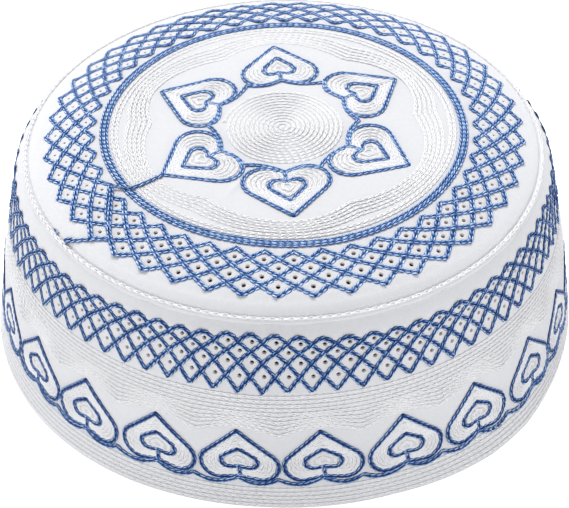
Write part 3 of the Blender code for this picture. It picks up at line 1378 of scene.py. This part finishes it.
def sew_white(link, finish):
    """The rows on the crown, the side and the hem, the seam's stitches, and the loops in the hearts."""

    def sew_rows(name, rows, seed, shade_softness=0.0, size=WHITE_STITCH):
        return sew(name, rows, link, size, finish, seed, shade_softness)

    # The shade softness paints light by where the rows lie: the rows on the crown and the seam get fainter
    # painted grooves than those on the side and the hem.
    sew_rows("crown_white_rows", crown_white_rows(), seed=21, shade_softness=0.55)
    sew_rows("side_white_rows", side_white_rows(), seed=22)
    sew_rows("hem_rows", closed_rows(on_side, HEM_ROWS, 33), seed=23)
    sew_rows("seam_stitches", seam_row(), seed=24, shade_softness=0.55, size=SEAM_STITCH)
    sew_rows("crown_heart_fill", crown_heart_rows(CROWN_LOOPS), seed=25, shade_softness=0.55)
    sew_rows("side_heart_fill", side_heart_rows(SIDE_LOOPS), seed=26, shade_softness=0.20)


# Stage

CAMERA_AIM = Vector((0.0, 0.0, 0.040))
CAMERA_ELEVATION = 0.68942
CAMERA_DISTANCE = 0.5582
CAMERA_PITCH = 0.72142
CAMERA_ROLL = -0.009
CAMERA_LENS = 112.81
SHADE_RADIUS = 0.0885
PANELS = [
    # name, place, aim, width, depth, power
    ("key_panel", (-0.12, 0.62, 0.88), (0.0, 0.0, 0.05), 1.1, 0.28, 10.5),
    ("left_panel", (-0.95, -0.05, 0.16), (0.0, 0.0, 0.03), 0.4, 0.4, 2.9),
    ("right_panel", (0.95, -0.05, 0.16), (0.0, 0.0, 0.03), 0.4, 0.4, 2.7),
    ("front_left_panel", (-0.45, -0.90, 0.16), (0.0, 0.0, 0.03), 0.4, 0.4, 2.3),
    ("front_right_panel", (0.45, -0.90, 0.16), (0.0, 0.0, 0.03), 0.4, 0.4, 2.1),
]


def camera():
    """The photograph's view, from a little under 40 degrees above the front."""
    eye = bpy.data.cameras.new("camera")
    eye.lens = CAMERA_LENS
    eye.sensor_width = 36.0
    eye.clip_start = 0.01
    holder = new_object("camera", eye)
    toward = Vector((0.0, -math.cos(CAMERA_ELEVATION), math.sin(CAMERA_ELEVATION)))
    turn = Matrix.Rotation(math.pi / 2 - CAMERA_PITCH, 4, "X") @ Matrix.Rotation(CAMERA_ROLL, 4, "Z")
    holder.matrix_world = Matrix.Translation(CAMERA_AIM + toward * CAMERA_DISTANCE) @ turn
    bpy.context.scene.camera = holder


def soft_light(name, place, aim, width, depth, power):
    panel = bpy.data.lights.new(name, "AREA")
    panel.shape = "RECTANGLE"
    panel.size = width
    panel.size_y = depth
    panel.energy = power
    holder = new_object(name, panel)
    holder.location = place
    holder.rotation_euler = (Vector(aim) - Vector(place)).to_track_quat("-Z", "Y").to_euler()


def floor():
    """A plain white floor that throws little light back at the hat, and a dark grey card under the hat that
    stands in for the shade inside it.
    """
    bpy.ops.object.select_all(action="DESELECT")
    bpy.ops.mesh.primitive_plane_add(size=6.0, location=(0.0, 0.0, -0.0004))
    ground = bpy.context.object
    ground.name = "floor"
    finish, tree, shader = finish_base("white_floor", 0.9)
    shader.inputs["Base Color"].default_value = (0.70, 0.70, 0.70, 1.0)
    shader.inputs["Specular IOR Level"].default_value = 0.0
    shader.inputs["Emission Color"].default_value = (1.0, 1.0, 1.0, 1.0)
    seen = tree.nodes.new("ShaderNodeLightPath")
    tree.links.new(seen.outputs["Is Camera Ray"], shader.inputs["Emission Strength"])
    ground.data.materials.append(finish)
    bpy.ops.object.select_all(action="DESELECT")
    bpy.ops.mesh.primitive_circle_add(
        vertices=96,
        radius=SHADE_RADIUS,
        fill_type="NGON",
        location=(0.0, 0.0, -0.0002),
    )
    shade = bpy.context.object
    shade.name = "shade_under_hat"
    finish, tree, shader = finish_base("inner_shade_card", 0.9)
    # Painted shade: a dark card under the hat darkens its inside
    shader.inputs["Base Color"].default_value = (0.15, 0.145, 0.15, 1.0)
    shade.data.materials.append(finish)


def stage():
    scene = bpy.context.scene
    scene.view_settings.view_transform = "Standard"
    world = bpy.data.worlds.new("soft_room")
    world.use_nodes = True
    world.node_tree.nodes["Background"].inputs[0].default_value = (0.96, 0.965, 1.0, 1.0)
    world.node_tree.nodes["Background"].inputs[1].default_value = 0.40
    scene.world = world
    floor()
    for panel in PANELS:
        soft_light(*panel)


camera()
stage()
build_kufi()
